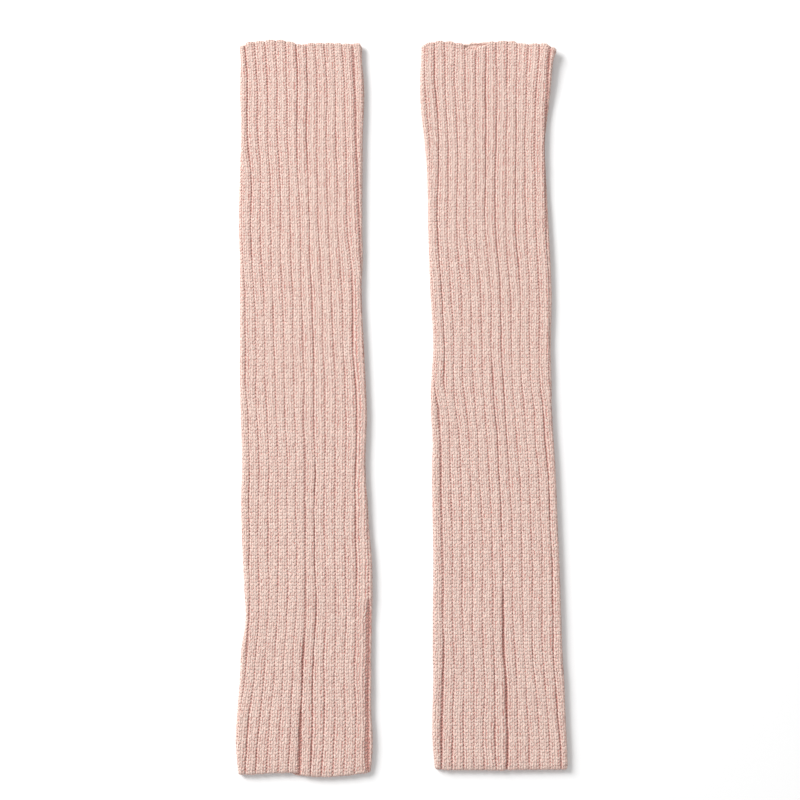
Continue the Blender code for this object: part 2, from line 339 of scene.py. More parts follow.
# The four legs of a rib's two knit stitches: where each starts and ends across the rib
KNIT_LEGS = ((0.195, 0.085), (0.305, 0.44), (0.695, 0.56), (0.805, 0.915))
LEG_REACH = 0.72  # rows that a leg reaches up and down from its middle
LEG_PROUD = 0.05  # how far the foot of a leg stands out of the wall, in millimetres
LEG_UNDER = 0.22  # how far a leg's top is tucked under the next stitch, in millimetres
LEG_SLIP = 0.036  # how far a leg strays to its sides, in ribs
LEG_LEAN = 0.02  # how far its lean strays, in ribs
LEG_RISE = 0.38  # how far it strays up and down, in millimetres
FIRST_ROW = 0.9  # the first row of knit stitches is this far above the lip of the hem
LAST_ROW = 0.6  # and the last one at least this far below the lip of the top rim
TOP_FLATTER = 0.3  # share by which the stitches at the stretched top rim are flatter
FLANK_PAINTED_SHADE = 0.15  # how much of a crease's painted shade the legs beside it take
RIM_PAINTED_SHADE = 0.12  # shade painted on the stitches that run into the top rim

PURL_START = 0.5  # the purl bumps start this far above the hem, in millimetres
PURL_END = 2.0  # and end this far below the top rim
PURL_REACH = 0.5  # rows that a purl bump reaches up and down from its middle
PURL_HEIGHT = 0.5  # how far it stands out, in millimetres
PURL_INNER = 0.01  # from the middle of a groove to a bump's inner end, in ribs
PURL_OUTER = 0.04  # from the side of the groove's open bottom to its outer end, in ribs
PURL_FACE = 0.4  # share of the open bottom's half width at which a bump's direction is taken
PURL_RISE = 0.4
PURL_OVERLAP = 1.2

# How uneven the width and the height of the legs are from one to the next
LEG_SPREADS = (0.14, 0.3)
PURL_SPREADS = (0.12, 0.3)
EDGE_SPREADS = (0.15, 0.2)
INSIDE_SPREADS = (0.2, 0.2)
MEAN_SHADE = 0.5

# Seeds: each tube, rib and groove draws from numbers of its own, and so does each kind of piece
TUBE_SEEDS = 10
RIB_SEEDS = 100
GROOVE_SEEDS = 40
DRAW_STEP = 10
GROUP_SEEDS = 3
PURL_SEED = 50
RIM_SEED = 80
HEM_SEED = 85
INSIDE_SEED = 90

# The wall, in millimetres
WALL_ROW = 4.0  # height of a row of its faces outside
LIP_TURNS = np.array([0.8, 1.5, 2.2, 2.9])  # turns round a lip of its last rows, in radians
INNER_START = 6.0  # its rows inside run from this far above the hem
INNER_END = 5.0  # to this far below the top rim
INNER_ROW = 12.0
PAINTED_SHADE_REACH = 0.12  # a crease's painted shade reaches this far beside its middle, in ribs
LIP_BAND = 1.0  # the wall has the lips' painted shade for this much before them
LIP_PAINTED_SHADE = 0.35  # how much shade is painted on the lips and inside

# Columns of the wall in each rib, and how much shade is painted on the yarn there: red painted
# shade where the two legs of a stitch part and at the bottom of a groove, pale elsewhere
WallColumn = namedtuple("WallColumn", "step tuck")
WALL_COLUMNS = (
    WallColumn(0.0, 0.9),
    WallColumn(0.06, 0.5),
    WallColumn(0.14, 0.4),
    WallColumn(0.26, 1.0),
    WallColumn(0.5, 0.3),
    WallColumn(0.74, 1.0),
    WallColumn(0.86, 0.4),
    WallColumn(0.94, 0.5),
)

# Rows of yarn over the rims. With four columns a rib they carry the legs of the stitches on
# round the lip, and with two they are the loops of a chain inside it. Near and far are the two
# ends of a leg past the last level row, in radii of the lip. Lean is how far it leans along the
# rim, as a share of its column, and deep the shade painted on it. The rest are in millimetres.
EdgeRow = namedtuple("EdgeRow", "columns near far lean sink width height deep")
# The last column is shade painted on the rim's loops, more on the outer rows
BOUND_OFF_ROWS = (
    EdgeRow(4, -0.5, 0.4, 0.4, 0.4, 2.1, 0.45, 0.15),
    EdgeRow(4, 0.35, 1.2, 0.4, 0.35, 2.1, 0.5, 0.25),
    EdgeRow(4, 1.1, 2.0, 0.4, 0.35, 2.1, 0.5, 0.3),
    EdgeRow(2, 2.0, 2.3, -0.95, 0.6, 1.8, 0.8, 0.3),
    EdgeRow(2, 2.7, 3.0, 0.95, 0.6, 1.8, 0.8, 0.3),
)
# The last column is shade painted on the hem, most on its outer rows, where it rounds under away
# from the light
CAST_ON_ROWS = (
    EdgeRow(4, -0.5, 0.4, 0.4, 0.55, 2.2, 0.3, 0.3),
    EdgeRow(4, 0.35, 1.2, 0.4, 0.6, 2.2, 0.3, 0.6),
    EdgeRow(4, 1.1, 2.0, 0.4, 0.6, 2.2, 0.3, 1.0),
    EdgeRow(2, 2.3, 2.7, -0.95, 0.8, 1.8, 0.6, 1.2),
)
LEG_SIDES = (-1.0, 1.0, -1.0, 1.0)  # the way that each of the four legs leans as it rises
EDGE_STRAY = 0.16  # how far a leg strays, in columns along the rim and in radii round it
EDGE_LEAN = 0.25  # how uneven the leans are
EDGE_OVERLAP = 1.25

# The backs of the stitches on the inside of the back panel, in millimetres
INSIDE_REACH = 12.0  # they run from this far below the top rim
INSIDE_END = 0.3  # to this far below its lip
INSIDE_STEP = 0.25  # from one to the next along the rim, in ribs
INSIDE_MARGIN = 0.4  # from the edge of the front panel to the first, in ribs
INSIDE_HALF = 0.1  # half of the length of one, in ribs
INSIDE_SLIP = 0.03
INSIDE_RISE = 0.3
INSIDE_WIDTH = 1.6
INSIDE_HEIGHT = 0.4
INSIDE_OVERLAP = 1.5

# Yarn colour, as weights in the sums that mix its pale colour with its painted shade colour
PAINTED_SHADE_WEIGHT = 0.45
SHADE_WEIGHT = 0.5
BLOTCH_WEIGHT = 1.1
WARM_SLOPE = -0.8
WARM_START = 0.64

# The stage, in metres, and the lens in millimetres
SURFACE_HALF = 3.0
SURFACE_COLOUR = (0.95, 0.95, 0.95, 1.0)
KEY_SIZE = 1.9
KEY_DIRECTION = (-1.15, 0.92, 0.98)
KEY_DISTANCE = 2.3
LENS = 100.0
SENSOR = 36.0
VIEW_MIDDLE_X = -1.74 * MM
VIEW_MIDDLE_Y = 7.0 * MM


def ease(share):
    """Smooth step from 0 to 1."""
    share = np.clip(share, 0.0, 1.0)
    return share * share * (3.0 - 2.0 * share)


def smooth_column(rows, key, name, at):
    """One column of a table, read on a smooth curve."""
    keys = np.array([getattr(row, key) for row in rows], float)
    values = np.array([getattr(row, name) for row in rows], float)
    slopes = np.gradient(values, keys)
    at = np.clip(at, keys[0], keys[-1])
    index = np.clip(np.searchsorted(keys, at, side="right") - 1, 0, len(keys) - 2)
    span = keys[index + 1] - keys[index]
    share = (at - keys[index]) / span
    rest = 1.0 - share
    low = values[index] * (1.0 + 2.0 * share) + slopes[index] * span * share
    high = values[index + 1] * (3.0 - 2.0 * share) - slopes[index + 1] * span * rest
    return low * rest * rest + high * share * share


def cut_at(tube, up):
    """The cross section of a tube at heights above its hem."""
    names = Section._fields[1:]
    return Section(up, *(smooth_column(tube.sections, "up", name, up) for name in names))


def across_front(cut, place):
    """Distance from the axis, across the unrolled front panel, of rib places."""
    stations = (
        (1, cut.groove_1),
        (6, cut.groove_6),
        (11, cut.groove_11),
        (12, cut.groove_12),
        (13, cut.groove_12 + RIB_PITCH),
    )
    (low, low_x), (high, high_x) = stations[:2]
    run = low_x + (place - low) * (high_x - low_x) / (high - low)
    for (low, low_x), (high, high_x) in zip(stations[1:], stations[2:]):
        segment = low_x + (place - low) * (high_x - low_x) / (high - low)
        run = np.where(place > low, segment, run)
    return run


def ripple(tube, wave, at, up):
    """One small wave of the cloth, at places and heights."""
    return wave.size * np.sin(wave.turns * at + up / wave.length + wave.seeds * tube.seed)


def wander(tube, place, up):
    """How far the knitting strays sideways, as hand-laid cloth does."""
    turn = 2.0 * math.pi * place / RIBS
    stray = 0.0
    for wave in STRAY_WAVES:
        stray = stray + ripple(tube, wave, turn, up)
    for sway in tube.sways:
        near = ((place - sway.groove) / sway.spread) ** 2 + ((up - sway.up) / sway.reach) ** 2
        stray = stray + sway.shift * np.exp(-near)
    return stray


def length_round(cut):
    """Length of the cloth all the way round a cross section."""
    return 2.0 * (cut.right - cut.left - 2.0 * FOLD_RADIUS) + 2.0 * math.pi * FOLD_RADIUS


def across(tube, cut, place):
    """Distance across the whole round, front panel and flat back panel."""
    front = across_front(cut, np.clip(place, FRONT_START, FRONT_END))
    seen = across_front(cut, FRONT_END) - across_front(cut, FRONT_START)
    back_pitch = (length_round(cut) - seen) / (RIBS - FRONT_END + FRONT_START)
    back = back_pitch * (place - np.clip(place, FRONT_START, FRONT_END))
    return front + back + wander(tube, place, cut.up)


def turn_at(cut, run):
    """Side, start, turn round the fold and run along the underside of distances across."""
    left_turn = cut.left + FOLD_RADIUS
    right_turn = cut.right - FOLD_RADIUS
    on_left = run < left_turn
    side = np.where(on_left, -1.0, 1.0)
    start = np.where(on_left, left_turn, np.minimum(run, right_turn))
    past = np.where(on_left, left_turn - run, np.maximum(run - right_turn, 0.0))
    turn = np.minimum(past / FOLD_RADIUS, math.pi)
    return side, start, turn, past - turn * FOLD_RADIUS


def between(up, low, high, fade):
    """1 from low to high, and 0 past them, with a smooth step of the fade's length at each end."""
    return ease((up - low) / fade) * ease((high - up) / fade)


def trough_width(tube, groove, up):
    """Width of the open bottom of a groove, which varies along it."""
    width = GROOVE_WIDTH * (1.0 + ripple(tube, WIDTH_WAVE, groove, up))
    width = width + ripple(tube, WIDTH_RIPPLE, groove, up)
    for trough in tube.troughs:
        inside = between(up, trough.low, trough.high, TROUGH_EASE)
        here = np.where(groove == trough.groove, inside, 0.0)
        width = width + here * (trough.width - GROOVE_WIDTH)
    return np.maximum(width, LEAST_WIDTH)


def crease_share(tube, groove, up):
    """Share of a full crease's depth that a groove has, which varies along it."""
    rim = ease((up - RIM_SHARE_STARTS) / RIM_SHARE_EASE)
    share = FAINT_SHARE + (RIM_SHARE - FAINT_SHARE) * rim
    share = share * (1.0 + ripple(tube, CREASE_WAVE, groove, up))
    for crease in tube.creases:
        inside = between(up, crease.low, crease.high, CREASE_EASE)
        here = np.where(groove == crease.groove, inside, 0.0)
        share = share + here * (crease.share - share)
    return share * (1.0 + ripple(tube, CREASE_RIPPLE, groove, up))


def rib_span(tube, place, up):
    """The rib at a place, and the shares of its pitch that its two troughs take."""
    rib = np.floor(place + 1e-9)
    left = 0.5 * trough_width(tube, rib, up) / RIB_PITCH
    right = 0.5 * trough_width(tube, rib + 1, up) / RIB_PITCH
    return rib, left, right


def groove_sink(tube, place, up, turn):
    """How far the knitted face lies below the crests, and the share of the full depth."""
    rib, left, right = rib_span(tube, place, up)
    body = (place - rib - left) / (1.0 - left - right)
    middle = np.clip(np.abs(2.0 * body - 1.0), 0.0, 1.0)
    height = (1.0 - middle**RIB_FLATNESS) ** RIB_SHOULDER
    front = ease((FADE_ENDS - turn) / (FADE_ENDS - FADE_STARTS))
    share = crease_share(tube, np.where(body < 0.5, rib, rib + 1), up)
    depth = UNDER_GROOVE + (FRONT_GROOVE * share - UNDER_GROOVE) * front
    rim = RIM_SHALLOWER * ease((up - tube.length + TOP_LIP + RIM_BAND) / BAND_EASE)
    hem = HEM_SHALLOWER * ease((HEM_LIP + HEM_BAND - up) / BAND_EASE)
    crown = RIB_CROWN * front * middle * middle
    return depth * (1.0 - height) * (1.0 - rim - hem) + crown, front


def over_front(place):
    """The places of the front panel that lie over places of the back panel."""
    middle = 0.5 * (FRONT_START + FRONT_END)
    left_share = (middle - FRONT_START) / (FRONT_START - SEAM_START)
    right_share = (FRONT_END - middle) / (SEAM_START + RIBS - FRONT_END)
    left = FRONT_START + (FRONT_START - place) * left_share
    right = FRONT_END - (place - FRONT_END) * right_share
    return np.select([place < FRONT_START, place > FRONT_END], [left, right], place)


def end_rise(tube, place, name):
    """Rise of the top rim or hem at rib places."""
    first = tube.rib_ends[0].rib
    last = tube.rib_ends[-1].rib
    middle = np.clip(place - 0.5, first, last)
    rises = np.array([getattr(row, name) for row in tube.rib_ends], float)
    index = np.clip((middle - first).astype(int), 0, len(rises) - 2)
    share = ease(middle - first - index)
    return rises[index] * (1.0 - share) + rises[index + 1] * share


def corner_lift(tube, cut, x, up):
    """How far the curled upper right corner stands off the surface at spots."""
    near_edge = ease(1.0 - (cut.right - x) / CORNER_WIDTH)
    near_top = ease(1.0 - (tube.length - up) / CORNER_DEPTH)
    return tube.corner_rise * near_edge * near_top


def placed(tube, x, y, z):
    """Spots given in a tube's own millimetres, in metres where the tube lies."""
    return np.stack([(tube.axis_x + x) * MM, (tube.hem_y + y) * MM, z * MM], axis=-1)


def spot(tube, place, up, sink=0.0):
    """Where spots of the cloth lie, in metres.

    place is a rib place, up a height above the hem and sink a depth below the knitted face.
    Beyond the last full row a spot runs on round the lip of the top rim or of the hem.
    """
    place, up = np.broadcast_arrays(np.asarray(place, float), np.asarray(up, float))
    level = np.clip(up, HEM_LIP, tube.length - TOP_LIP)
    cut = cut_at(tube, level)
    run = across(tube, cut, place)
    side, start, turn, under = turn_at(cut, run)
    relief, front = groove_sink(tube, place, level, turn)
    depth = relief + sink
    at_top = up > level
    lip = np.where(at_top, TOP_LIP, HEM_LIP)
    bend = np.abs(up - level) / lip
    lip = lip * (UNDER_LIP + (1.0 - UNDER_LIP) * front)
    radius = np.maximum(lip - 0.5 * depth, LIP_LEFT * lip)
    reach = FOLD_RADIUS - depth - radius * (1.0 - np.cos(bend))
    beyond = radius * np.sin(bend) * np.where(at_top, 1.0, -1.0)
    x = start + side * (reach * np.sin(turn) - under)
    z = FOLD_RADIUS + reach * np.cos(turn)
    above = over_front(place)
    front_rise = end_rise(tube, above, "top_rise")
    back_rise = end_rise(tube, above, "back_rise")
    top_rise = front * front_rise + (1.0 - front) * back_rise
    notch = RIM_NOTCH * np.abs(2.0 * (place - np.floor(place)) - 1.0) ** NOTCH_POWER
    y = level + beyond + top_rise * ease(1.0 - (tube.length - level) / TOP_REACH)
    y = y - notch * ease(1.0 - (tube.length - level) / NOTCH_REACH)
    y = y + end_rise(tube, above, "hem_rise") * ease(1.0 - level / HEM_REACH)
    z = z + corner_lift(tube, cut, x, level)
    z = z - front * HEM_SAG * np.clip(1.0 - level / HEM_SAG_REACH, 0.0, 1.0) ** 2
    return placed(tube, x, y, z)


def unit(vectors):
    """Vectors at length one."""
    return vectors / np.maximum(np.linalg.norm(vectors, axis=-1, keepdims=True), 1e-12)


def face_direction(tube, place, up, sink):
    """Outward direction of the knitted face at spots of it."""
    step_place = 0.03
    step_up = 0.6
    over = spot(tube, place + step_place, up, sink) - spot(tube, place - step_place, up, sink)
    along = spot(tube, place, up + step_up, sink) - spot(tube, place, up - step_up, sink)
    return unit(np.cross(over, along))


def row_ups(tube, low, high):
    """Heights of the rows of stitches from low to high, by the gauge."""
    rows = [low]
    while rows[-1] < high:
        rows.append(rows[-1] + float(np.interp(rows[-1], GAUGE_UPS, GAUGE_ROWS)))
    return np.array(rows[:-1])


def new_object(name, mesh):
    """An object for a mesh, in the scene."""
    item = bpy.data.objects.new(name, mesh)
    bpy.context.scene.collection.objects.link(item)
    return item


def mesh_of(name, points, faces):
    """A mesh from points and faces, shaded smooth."""
    mesh = bpy.data.meshes.new(name)
    mesh.from_pydata(points.tolist(), [], faces)
    mesh.shade_smooth()
    mesh.update()
    return mesh


def mark(mesh, name, kind, values):
    """Give each point of a mesh a value that its materials or nodes read."""
    attribute = mesh.attributes.new(name, kind, "POINT")
    field = "vector" if kind == "FLOAT_VECTOR" else "value"
    attribute.data.foreach_set(field, np.asarray(values, np.float32).ravel())


class KnitSizes(PropertyGroup):
    """Sizes of the yarn and of the stitches."""

    leg_width: FloatProperty(
        name="Yarn Width",
        description="Width of one leg of a knit stitch",
        default=2.2 * MM,
        unit="LENGTH",
        precision=5,
    )
    leg_height: FloatProperty(
        name="Yarn Height",
        description="How far a leg of a stitch stands out of the wall",
        default=0.46 * MM,
        unit="LENGTH",
        precision=5,
    )
    leg_overlap: FloatProperty(
        name="Stitch Overlap",
        description="Length of a leg as a multiple of the way between its two ends",
        default=1.06,
        subtype="FACTOR",
    )
    purl_width: FloatProperty(
        name="Purl Width",
        description="Thickness of one purl bump at the bottom of a groove",
        default=1.1 * MM,
        unit="LENGTH",
        precision=5,
    )
    seed: IntProperty(
        name="Yarn Seed",
        description="Seed of the small unevenness from stitch to stitch",
        default=7,
    )


class YarnLooks(PropertyGroup):
    """Colours and sheen of the yarn."""

    crest: FloatVectorProperty(
        name="Yarn Colour",
        description="Colour of the yarn where light reaches it",
        subtype="COLOR",
        size=4,
        default=(0.728, 0.55, 0.482, 1.0),
    )
    # Painted shade: the colour that the yarn is mixed towards in gaps, creases, under stitches and
    # round the hem, where shade falls, warm like light bounced inside pink yarn
    painted_shade_colour: FloatVectorProperty(
        name="Tucked Colour",
        description="Warmer, deeper colour of the yarn between and under stitches",
        subtype="COLOR",
        size=4,
        default=(0.64, 0.30, 0.255, 1.0),
    )
    sheen: FloatProperty(
        name="Fuzz Sheen",
        description="Soft pale sheen of the fine loose fibres",
        default=0.3,
        subtype="FACTOR",
    )
    softness: FloatProperty(
        name="Softness",
        description="Share of the light that spreads inside the yarn before it leaves",
        default=0.15,
        subtype="FACTOR",
    )


class StudioSizes(PropertyGroup):
    """The surface, the light and the camera."""

    view_width: FloatProperty(
        name="View Width",
        description="Width of the surface that the camera sees",
        default=0.672,
        unit="LENGTH",
    )
    key_power: FloatProperty(
        name="Key Light",
        description="Power of the large soft light at the upper left, in watts",
        default=200.0,
    )
    fill: FloatProperty(
        name="Fill Light",
        description="Strength of the even light from all round",
        default=0.55,
    )


def fill(node, values):
    """Set inputs of a node by their names."""
    for name, value in values.items():
        node.inputs[name].default_value = value


def yarn_material(name, looks, painted_low_colour, high_colour):
    """Matt, slightly fuzzy yarn, with shade painted into its colour where it is tucked away."""
    material = bpy.data.materials.new(name)
    material.use_nodes = True
    nodes = material.node_tree.nodes
    links = material.node_tree.links
    shader = nodes["Principled BSDF"]
    shader.inputs["Roughness"].default_value = 0.88
    shader.inputs["Specular IOR Level"].default_value = 0.25
    shader.inputs["Sheen Weight"].default_value = looks.sheen
    shader.inputs["Sheen Roughness"].default_value = 0.6
    shader.inputs["Sheen Tint"].default_value = (1.0, 0.86, 0.82, 1.0)
    shader.subsurface_method = "BURLEY"
    shader.inputs["Subsurface Weight"].default_value = looks.softness
    shader.inputs["Subsurface Radius"].default_value = (1.0, 0.6, 0.5)
    shader.inputs["Subsurface Scale"].default_value = 0.7 * MM

    def stored(name):
        node = nodes.new("ShaderNodeAttribute")
        node.attribute_name = name
        return node.outputs["Fac"]

    def maths(operation, *terms):
        node = nodes.new("ShaderNodeMath")
        node.operation = operation
        for socket, term in zip(node.inputs, terms):
            if isinstance(term, float):
                socket.default_value = term
            else:
                links.new(term, socket)
        return node.outputs["Value"]

    place = nodes.new("ShaderNodeTexCoord")
    # Painted shade: the feet of the legs, the gaps in the wall and the creases are mixed towards
    # the painted shade colour
    crevice = nodes.new("ShaderNodeMapRange")
    crevice.interpolation_type = "SMOOTHSTEP"
    fill(crevice, {"From Min": 0.25})
    links.new(stored("tuck"), crevice.inputs["Value"])
    shadowed = maths("MULTIPLY_ADD", stored("deep"), PAINTED_SHADE_WEIGHT, crevice.outputs["Result"])

    blotch = nodes.new("ShaderNodeTexNoise")
    fill(blotch, {"Scale": 1100.0, "Detail": 3.0})
    links.new(place.outputs["Object"], blotch.inputs["Vector"])
    shade_part = maths("MULTIPLY", stored("shade"), SHADE_WEIGHT)
    speckle = maths("MULTIPLY_ADD", blotch.outputs["Fac"], BLOTCH_WEIGHT, shade_part)
    warmer = maths("MULTIPLY_ADD", speckle, WARM_SLOPE, WARM_START)
    # The pale yarn colour mixed towards the painted shade colour, by the painted shade and a random
    # tone
    yarn = nodes.new("ShaderNodeMix")
    yarn.data_type = "RGBA"
    yarn.clamp_factor = True
    fill(yarn, {"A": high_colour, "B": painted_low_colour})
    links.new(maths("ADD", shadowed, warmer), yarn.inputs["Factor"])

    value = nodes.new("ShaderNodeMapRange")
    fill(value, {"From Min": 0.4, "From Max": 1.2, "To Min": 0.9, "To Max": 1.08})
    links.new(speckle, value.inputs["Value"])
    tone = nodes.new("ShaderNodeHueSaturation")
    links.new(value.outputs["Result"], tone.inputs["Value"])
    links.new(yarn.outputs["Result"], tone.inputs["Color"])
    links.new(tone.outputs["Color"], shader.inputs["Base Color"])

    fibres = nodes.new("ShaderNodeTexNoise")
    fill(fibres, {"Scale": 2400.0, "Detail": 4.0, "Roughness": 0.65})
    links.new(place.outputs["Object"], fibres.inputs["Vector"])
    bump = nodes.new("ShaderNodeBump")
    fill(bump, {"Strength": 0.35, "Distance": 0.3 * MM})
    links.new(fibres.outputs["Fac"], bump.inputs["Height"])
    links.new(bump.outputs["Normal"], shader.inputs["Normal"])
    return material


def material_named(name):
    """A yarn material, made the first time that a piece asks for it."""
    found = bpy.data.materials.get(name)
    if found:
        return found
    looks = bpy.context.scene.leg_warmer_yarn
    return yarn_material(name, looks, tuple(looks.painted_shade_colour), tuple(looks.crest))


def inner_face(tube, places):
    """The plain inside of the wall, ring by ring from the hem up."""
    ups = np.arange(INNER_START, tube.length - INNER_END, INNER_ROW)[:, None]
    cut = cut_at(tube, ups)
    run = across(tube, cut, places[None, :])
    side, start, turn, under = turn_at(cut, run)
    x = start + side * (GAP_RADIUS * np.sin(turn) - under)
    y = np.broadcast_to(ups, x.shape)
    z = GAP_MIDDLE + GAP_RADIUS * np.cos(turn) + corner_lift(tube, cut, x, y)
    return placed(tube, x, y, z)


def wall_of(tube):
    """The knitted wall under the stitches: ribbed outside, plain inside, lipped at both ends."""
    steps = np.array([column.step for column in WALL_COLUMNS])
    places = (SEAM_START + np.arange(RIBS)[:, None] + steps[None, :]).ravel()
    rows = np.arange(HEM_LIP, tube.length - TOP_LIP, WALL_ROW)
    hem_round = HEM_LIP * (1.0 - LIP_TURNS[::-1])
    top_round = tube.length - TOP_LIP * (1.0 - np.append(0.0, LIP_TURNS))
    ups = np.concatenate([hem_round, rows, top_round])
    outside = spot(tube, places[None, :], ups[:, None], STITCH_SINK)
    groove = np.round(places)
    # Painted crease shade on the wall, along the middle of each groove
    near = np.clip(1.0 - np.abs(places - groove) / PAINTED_SHADE_REACH, 0.0, 1.0)
    deep = near * crease_share(tube, groove[None, :], ups[:, None])
    inside = inner_face(tube, places)
    rings = np.concatenate([outside, inside[::-1]])
    count = len(places)
    faces = []
    for ring in range(len(rings)):
        low = ring * count
        high = (ring + 1) % len(rings) * count
        for column in range(count):
            after = (column + 1) % count
            faces.append((low + column, low + after, high + after, high + column))
    mesh = mesh_of(tube.name + "_wall", rings.reshape(-1, 3), faces)
    # Painted shade on the wall: in the gaps between the legs, at the groove bottoms, on the lips
    # and inside
    on_lip = (ups > tube.length - TOP_LIP - LIP_BAND) | (ups < HEM_LIP + LIP_BAND)
    painted_shades = np.tile([column.tuck for column in WALL_COLUMNS], RIBS)
    tuck = np.where(on_lip[:, None], LIP_PAINTED_SHADE, painted_shades[None, :])
    mark(mesh, "tuck", "FLOAT", np.concatenate([tuck, np.full(inside.shape[:2], LIP_PAINTED_SHADE)]))
    mark(mesh, "shade", "FLOAT", np.full(len(mesh.vertices), MEAN_SHADE))
    mark(mesh, "deep", "FLOAT", np.concatenate([deep, np.zeros(inside.shape[:2])]))
    mesh.materials.append(material_named("knit_yarn"))
    return new_object(tube.name + "_wall", mesh)


LEG_RINGS = ((-0.27, 0.92), (0.2, 0.92))  # where a leg's rings are along it, and how wide
LOOP_RINGS = ((-0.36, 0.78), (0.0, 1.0), (0.36, 0.78))
PLAIN_RINGS = ((0.0, 1.0),)
CREST_GAIN = 1.4  # the painted shade reaches its crest value below a leg's very top


def spindle(name, rings, sides, base, crest=0.0):
    """One leg of a stitch, one unit long along Y, wide along X and high along Z.

    base and crest are how much shade is painted on its yarn at its foot and along its crest.
    """
    points = [(0.0, -0.5, 0.0)]
    for along, size in rings:
        for side in range(sides):
            angle = math.pi * side / (sides - 1)
            points.append((-0.5 * size * math.cos(angle), along, size * math.sin(angle)))
    points.append((0.0, 0.5, 0.0))
    last = len(points) - 1
    faces = []
    for side in range(sides):
        after = (side + 1) % sides
        faces.append((0, 1 + side, 1 + after))
        for ring in range(len(rings) - 1):
            low = 1 + ring * sides
            high = low + sides
            faces.append((low + side, high + side, high + after, low + after))
        end = 1 + (len(rings) - 1) * sides
        faces.append((end + side, last, end + after))
    points = np.array(points)
    mesh = mesh_of(name, points, faces)
    height = np.clip(points[:, 2] * CREST_GAIN, 0.0, 1.0)
    mark(mesh, "tuck", "FLOAT", base + (crest - base) * height)
    return mesh


def stitch_tree(shape, material):
    """Geometry nodes that lay one leg of yarn on each guide point."""
    tree = bpy.data.node_groups.new("lay_yarn_" + shape.name, "GeometryNodeTree")
    tree.interface.new_socket("Geometry", in_out="INPUT", socket_type="NodeSocketGeometry")
    tree.interface.new_socket("Yarn Size", in_out="INPUT", socket_type="NodeSocketFloat")
    tree.interface.new_socket("Geometry", in_out="OUTPUT", socket_type="NodeSocketGeometry")
    nodes = tree.nodes
    links = tree.links
    given = nodes.new("NodeGroupInput")
    result = nodes.new("NodeGroupOutput")

    def named(name, kind):
        node = nodes.new("GeometryNodeInputNamedAttribute")
        node.data_type = kind
        node.inputs["Name"].default_value = name
        return node.outputs["Attribute"]

    turn = nodes.new("FunctionNodeAxesToRotation")
    turn.primary_axis = "Y"
    turn.secondary_axis = "Z"
    links.new(named("along", "FLOAT_VECTOR"), turn.inputs["Primary Axis"])
    links.new(named("out", "FLOAT_VECTOR"), turn.inputs["Secondary Axis"])
    size = nodes.new("ShaderNodeVectorMath")
    size.operation = "SCALE"
    links.new(named("leg_size", "FLOAT_VECTOR"), size.inputs["Vector"])
    links.new(given.outputs["Yarn Size"], size.inputs["Scale"])

    points = nodes.new("GeometryNodeMeshToPoints")
    links.new(given.outputs["Geometry"], points.inputs["Mesh"])
    leg = nodes.new("GeometryNodeObjectInfo")
    leg.inputs["Object"].default_value = shape
    leg.inputs["As Instance"].default_value = False
    lay = nodes.new("GeometryNodeInstanceOnPoints")
    links.new(points.outputs["Points"], lay.inputs["Points"])
    links.new(leg.outputs["Geometry"], lay.inputs["Instance"])
    links.new(turn.outputs["Rotation"], lay.inputs["Rotation"])
    links.new(size.outputs["Vector"], lay.inputs["Scale"])
    real = nodes.new("GeometryNodeRealizeInstances")
    links.new(lay.outputs["Instances"], real.inputs["Geometry"])
    finish = nodes.new("GeometryNodeSetMaterial")
    finish.inputs["Material"].default_value = material
    links.new(real.outputs["Geometry"], finish.inputs["Geometry"])
    links.new(finish.outputs["Geometry"], result.inputs["Geometry"])
    return tree


def lay_yarn(name, shape_mesh, material, legs):
    """One piece of yarn legs, laid by geometry nodes on guide points and made a plain mesh.

    legs holds the two ends, the outward direction, the width, the height, the overlap, the
    shade, a tone that varies at random, and the painted shade of each leg.
    """
    start, end, out, width, height, overlap, shade, deep = legs
    shape = new_object(name + "_leg", shape_mesh)
    guide_mesh = mesh_of(name, 0.5 * (start + end), [])
    length = np.linalg.norm(end - start, axis=1) * overlap
    mark(guide_mesh, "along", "FLOAT_VECTOR", unit(end - start))
    mark(guide_mesh, "out", "FLOAT_VECTOR", out)
    mark(guide_mesh, "leg_size", "FLOAT_VECTOR", np.stack([width, length, height], axis=1))
    mark(guide_mesh, "shade", "FLOAT", shade)
    mark(guide_mesh, "deep", "FLOAT", deep)
    guide = new_object(name + "_guide", guide_mesh)
    tree = stitch_tree(shape, material)
    modifier = guide.modifiers.new("Lay Yarn", "NODES")
    modifier.node_group = tree
    socket = next(item for item in tree.interface.items_tree if item.name == "Yarn Size")
    modifier[socket.identifier] = 1.0
    bpy.context.view_layer.update()
    evaluated = guide.evaluated_get(bpy.context.evaluated_depsgraph_get())
    mesh = bpy.data.meshes.new_from_object(evaluated)
    mesh.name = name
    bpy.data.objects.remove(guide, do_unlink=True)
    bpy.data.objects.remove(shape, do_unlink=True)
    mesh.shade_smooth()
    mesh.materials.clear()
    mesh.materials.append(material)
    return new_object(name, mesh)


def uneven(seed, count, spread):
    """A fixed random factor near 1 for each of a count of legs."""
    return 1.0 + spread * np.random.default_rng(seed).uniform(-1.0, 1.0, count)


def strays(seed, count, spread):
    """A fixed random amount around 0 for each of a count of legs."""
    return uneven(seed, count, spread) - 1.0


def finish_legs(runs, seed, width, height, spreads, overlap):
    """Runs of legs joined, at their full size, each a little uneven.

    Each run holds the two ends, the outward direction, the share of the width, the share of the
    height and the painted shade of its legs.
    """
    start, end, out, widths, heights, deep = (np.concatenate(part) for part in zip(*runs))
    count = len(start)
    width = width * widths * uneven(seed, count, spreads[0])
    height = height * heights * uneven(seed + 1, count, spreads[1])
    shade = uneven(seed + 2, count, 1.0) * MEAN_SHADE
    return start, end, out, width, height, overlap, shade, deep


